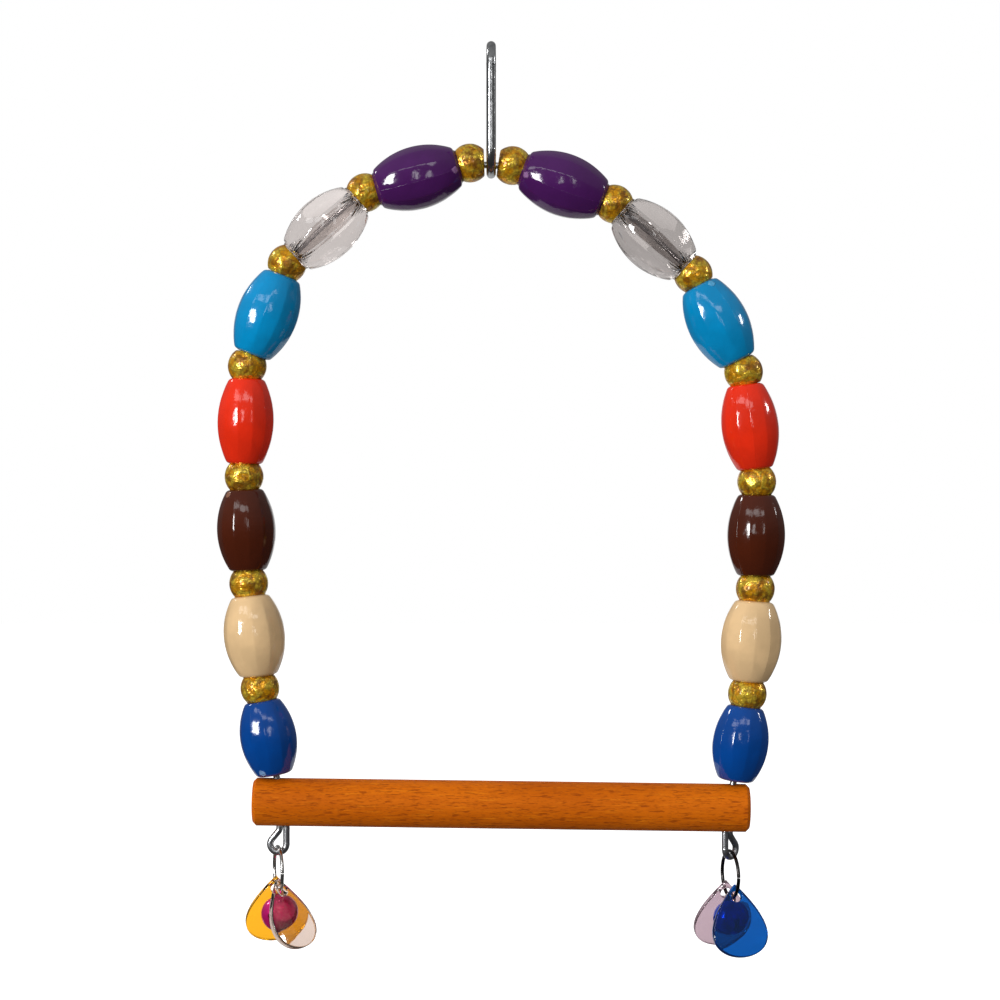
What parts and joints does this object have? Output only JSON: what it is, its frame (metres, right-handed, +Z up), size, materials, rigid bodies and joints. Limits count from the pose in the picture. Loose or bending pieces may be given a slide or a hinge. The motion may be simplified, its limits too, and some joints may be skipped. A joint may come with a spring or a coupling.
{
  "type": "bird swing",
  "caption": "Bird cage swing: a wire arch strung with barrel and spacer beads that spin, a wooden dowel perch, and charms with jingle bells on split rings.",
  "frame": {"origin": "inside top of the hanger link, where the cage hook carries it", "axes": "+Z up; +X to the right along the arch, as seen from the front; +Y to the back. The swing moves to and fro along Y."},
  "size_m": [0.1194, 0.0201, 0.1914],
  "materials": {
    "link_steel": "bright drawn wire, lightly polished",
    "galvanised_wire": "galvanised, satin",
    "dyed_wood": "water-dyed beech, dry satin, grain showing",
    "gold_bead": "crackled metallic gold, glossy",
    "purple_bead": "opaque, glossy",
    "clear_bead": "clear, glossy",
    "sky_bead": "opaque, glossy",
    "red_bead": "opaque, glossy",
    "brown_bead": "opaque, glossy",
    "cream_bead": "opaque, glossy",
    "royal_bead": "opaque, glossy",
    "nickel_ring": "bright nickel",
    "black_ring": "black nickel",
    "rose_charm": "transparent, faint rose tint",
    "orange_charm": "transparent orange",
    "blue_charm": "transparent deep blue",
    "pink_charm": "transparent pale pink",
    "magenta_bell": "glossy anodised look",
    "navy_bell": "glossy anodised look",
    "copper_wire": "bright copper-coloured wire",
    "steel_pellet": "plain steel"
  },
  "bodies": {
    "hanger": {"hanger_link": "link_steel"},
    "arch": {"arch_wire": "galvanised_wire", "perch": "dyed_wood"},
    "gold_left_1": {"gold_left_1": "gold_bead"},
    "purple_left": {"purple_left": "purple_bead"},
    "gold_left_2": {"gold_left_2": "gold_bead"},
    "clear_left": {"clear_left": "clear_bead"},
    "gold_left_3": {"gold_left_3": "gold_bead"},
    "sky_left": {"sky_left": "sky_bead"},
    "gold_left_4": {"gold_left_4": "gold_bead"},
    "red_left": {"red_left": "red_bead"},
    "gold_left_5": {"gold_left_5": "gold_bead"},
    "brown_left": {"brown_left": "brown_bead"},
    "gold_left_6": {"gold_left_6": "gold_bead"},
    "cream_left": {"cream_left": "cream_bead"},
    "gold_left_7": {"gold_left_7": "gold_bead"},
    "royal_left": {"royal_left": "royal_bead"},
    "gold_right_1": {"gold_right_1": "gold_bead"},
    "purple_right": {"purple_right": "purple_bead"},
    "gold_right_2": {"gold_right_2": "gold_bead"},
    "clear_right": {"clear_right": "clear_bead"},
    "gold_right_3": {"gold_right_3": "gold_bead"},
    "sky_right": {"sky_right": "sky_bead"},
    "gold_right_4": {"gold_right_4": "gold_bead"},
    "red_right": {"red_right": "red_bead"},
    "gold_right_5": {"gold_right_5": "gold_bead"},
    "brown_right": {"brown_right": "brown_bead"},
    "gold_right_6": {"gold_right_6": "gold_bead"},
    "cream_right": {"cream_right": "cream_bead"},
    "gold_right_7": {"gold_right_7": "gold_bead"},
    "royal_right": {"royal_right": "royal_bead"},
    "ring_left": {"ring_left": "nickel_ring"},
    "charm_front_left": {"charm_front_left": "rose_charm"},
    "charm_back_left": {"charm_back_left": "orange_charm"},
    "bell_left": {"bell_left": "magenta_bell", "bell_loop_left": "copper_wire"},
    "bell_pellet_left": {"bell_pellet_left": "steel_pellet"},
    "ring_right": {"ring_right": "black_ring"},
    "charm_front_right": {"charm_front_right": "blue_charm"},
    "charm_back_right": {"charm_back_right": "pink_charm"},
    "bell_right": {"bell_right": "navy_bell", "bell_loop_right": "copper_wire"},
    "bell_pellet_right": {"bell_pellet_right": "steel_pellet"}
  },
  "joints": [
    {"name": "arch_swing", "type": "hinge", "parent": "hanger", "child": "arch", "pos_m": [0, 0, -0.024], "axis": [1, 0, 0], "range_deg": [-90, 90]},
    {"name": "gold_left_1_spin", "type": "hinge", "parent": "arch", "child": "gold_left_1", "pos_m": [-0.00446, 0, -0.02355], "axis": [-0.9994, 0, -0.0353], "continuous": true},
    {"name": "purple_left_spin", "type": "hinge", "parent": "arch", "child": "purple_left", "pos_m": [-0.01545, 0, -0.02665], "axis": [-0.9623, 0, -0.2721], "continuous": true},
    {"name": "gold_left_2_spin", "type": "hinge", "parent": "arch", "child": "gold_left_2", "pos_m": [-0.02643, 0, -0.02976], "axis": [-0.8723, 0, -0.489], "continuous": true},
    {"name": "clear_left_spin", "type": "hinge", "parent": "arch", "child": "clear_left", "pos_m": [-0.03465, 0, -0.03723], "axis": [-0.7399, 0, -0.6727], "continuous": true},
    {"name": "gold_left_3_spin", "type": "hinge", "parent": "arch", "child": "gold_left_3", "pos_m": [-0.04287, 0, -0.04471], "axis": [-0.5696, 0, -0.8219], "continuous": true},
    {"name": "sky_left_spin", "type": "hinge", "parent": "arch", "child": "sky_left", "pos_m": [-0.04704, 0, -0.05544], "axis": [-0.3624, 0, -0.932], "continuous": true},
    {"name": "gold_left_4_spin", "type": "hinge", "parent": "arch", "child": "gold_left_4", "pos_m": [-0.05122, 0, -0.06617], "axis": [-0.1352, 0, -0.9908], "continuous": true},
    {"name": "red_left_spin", "type": "hinge", "parent": "arch", "child": "red_left", "pos_m": [-0.05155, 0, -0.07778], "axis": [-0.029, 0, -0.9996], "continuous": true},
    {"name": "gold_left_5_spin", "type": "hinge", "parent": "arch", "child": "gold_left_5", "pos_m": [-0.05189, 0, -0.08939], "axis": [0.0121, 0, -0.9999], "continuous": true},
    {"name": "brown_left_spin", "type": "hinge", "parent": "arch", "child": "brown_left", "pos_m": [-0.0514, 0, -0.10059], "axis": [0.0438, 0, -0.999], "continuous": true},
    {"name": "gold_left_6_spin", "type": "hinge", "parent": "arch", "child": "gold_left_6", "pos_m": [-0.05091, 0, -0.1118], "axis": [0.0754, 0, -0.9972], "continuous": true},
    {"name": "cream_left_spin", "type": "hinge", "parent": "arch", "child": "cream_left", "pos_m": [-0.04973, 0, -0.1228], "axis": [0.1064, 0, -0.9943], "continuous": true},
    {"name": "gold_left_7_spin", "type": "hinge", "parent": "arch", "child": "gold_left_7", "pos_m": [-0.04855, 0, -0.13379], "axis": [0.1374, 0, -0.9905], "continuous": true},
    {"name": "royal_left_spin", "type": "hinge", "parent": "arch", "child": "royal_left", "pos_m": [-0.0468, 0, -0.14416], "axis": [0.1668, 0, -0.986], "continuous": true},
    {"name": "gold_right_1_spin", "type": "hinge", "parent": "arch", "child": "gold_right_1", "pos_m": [0.00448, 0, -0.02408], "axis": [0.9882, 0, -0.1534], "continuous": true},
    {"name": "purple_right_spin", "type": "hinge", "parent": "arch", "child": "purple_right", "pos_m": [0.01516, 0, -0.02812], "axis": [0.9354, 0, -0.3536], "continuous": true},
    {"name": "gold_right_2_spin", "type": "hinge", "parent": "arch", "child": "gold_right_2", "pos_m": [0.02584, 0, -0.03215], "axis": [0.8531, 0, -0.5218], "continuous": true},
    {"name": "clear_right_spin", "type": "hinge", "parent": "arch", "child": "clear_right", "pos_m": [0.03413, 0, -0.03955], "axis": [0.7461, 0, -0.6658], "continuous": true},
    {"name": "gold_right_3_spin", "type": "hinge", "parent": "arch", "child": "gold_right_3", "pos_m": [0.04242, 0, -0.04695], "axis": [0.6152, 0, -0.7884], "continuous": true},
    {"name": "sky_right_spin", "type": "hinge", "parent": "arch", "child": "sky_right", "pos_m": [0.0477, 0, -0.05718], "axis": [0.4586, 0, -0.8886], "continuous": true},
    {"name": "gold_right_4_spin", "type": "hinge", "parent": "arch", "child": "gold_right_4", "pos_m": [0.05298, 0, -0.06741], "axis": [0.2862, 0, -0.9582], "continuous": true},
    {"name": "red_right_spin", "type": "hinge", "parent": "arch", "child": "red_right", "pos_m": [0.05437, 0, -0.07894], "axis": [0.1196, 0, -0.9928], "continuous": true},
    {"name": "gold_right_5_spin", "type": "hinge", "parent": "arch", "child": "gold_right_5", "pos_m": [0.05576, 0, -0.09047], "axis": [0.0183, 0, -0.9998], "continuous": true},
    {"name": "brown_right_spin", "type": "hinge", "parent": "arch", "child": "brown_right", "pos_m": [0.05561, 0, -0.10168], "axis": [-0.0134, 0, -0.9999], "continuous": true},
    {"name": "gold_right_6_spin", "type": "hinge", "parent": "arch", "child": "gold_right_6", "pos_m": [0.05546, 0, -0.1129], "axis": [-0.045, 0, -0.999], "continuous": true},
    {"name": "cream_right_spin", "type": "hinge", "parent": "arch", "child": "cream_right", "pos_m": [0.05461, 0, -0.12393], "axis": [-0.0762, 0, -0.9971], "continuous": true},
    {"name": "gold_right_7_spin", "type": "hinge", "parent": "arch", "child": "gold_right_7", "pos_m": [0.05377, 0, -0.13496], "axis": [-0.1073, 0, -0.9942], "continuous": true},
    {"name": "royal_right_spin", "type": "hinge", "parent": "arch", "child": "royal_right", "pos_m": [0.05233, 0, -0.14537], "axis": [-0.1367, 0, -0.9906], "continuous": true},
    {"name": "ring_left_swing", "type": "hinge", "parent": "arch", "child": "ring_left", "pos_m": [-0.0447, 0, -0.16824], "axis": [0.9914, 0.1305, 0], "range_deg": [-60, 60]},
    {"name": "charm_front_left_swing", "type": "hinge", "parent": "ring_left", "child": "charm_front_left", "pos_m": [-0.04392, -0.0029, -0.17578], "axis": [0.6862, -0.5557, 0.4695], "range_deg": [-30, 30]},
    {"name": "charm_back_left_swing", "type": "hinge", "parent": "ring_left", "child": "charm_back_left", "pos_m": [-0.04547, 0.0029, -0.17578], "axis": [0.2432, -0.9077, -0.342], "range_deg": [-30, 30]},
    {"name": "bell_left_swing", "type": "hinge", "parent": "ring_left", "child": "bell_left", "pos_m": [-0.0447, 0, -0.17681], "axis": [0.2588, -0.9659, 0], "range_deg": [-30, 5]},
    {"name": "bell_pellet_left_roll", "type": "hinge", "parent": "bell_left", "child": "bell_pellet_left", "pos_m": [-0.0447, 0, -0.18114], "axis": [0.2588, -0.9659, 0], "range_deg": [-60, 60]},
    {"name": "ring_right_swing", "type": "hinge", "parent": "arch", "child": "ring_right", "pos_m": [0.05035, 0.00118, -0.16939], "axis": [0.8704, 0.4924, 0], "range_deg": [-45, 45]},
    {"name": "charm_front_right_swing", "type": "hinge", "parent": "ring_right", "child": "charm_front_right", "pos_m": [0.05112, -0.00172, -0.17694], "axis": [0.2432, -0.9077, 0.342], "range_deg": [-30, 30]},
    {"name": "charm_back_right_swing", "type": "hinge", "parent": "ring_right", "child": "charm_back_right", "pos_m": [0.04957, 0.00408, -0.17694], "axis": [0.2432, -0.9077, -0.342], "range_deg": [-30, 30]},
    {"name": "bell_right_swing", "type": "hinge", "parent": "ring_right", "child": "bell_right", "pos_m": [0.05035, 0.00118, -0.17797], "axis": [0.2588, -0.9659, 0], "range_deg": [-30, 30]},
    {"name": "bell_pellet_right_roll", "type": "hinge", "parent": "bell_right", "child": "bell_pellet_right", "pos_m": [0.05035, 0.00118, -0.1823], "axis": [0.2588, -0.9659, 0], "range_deg": [-60, 60]}
  ]
}
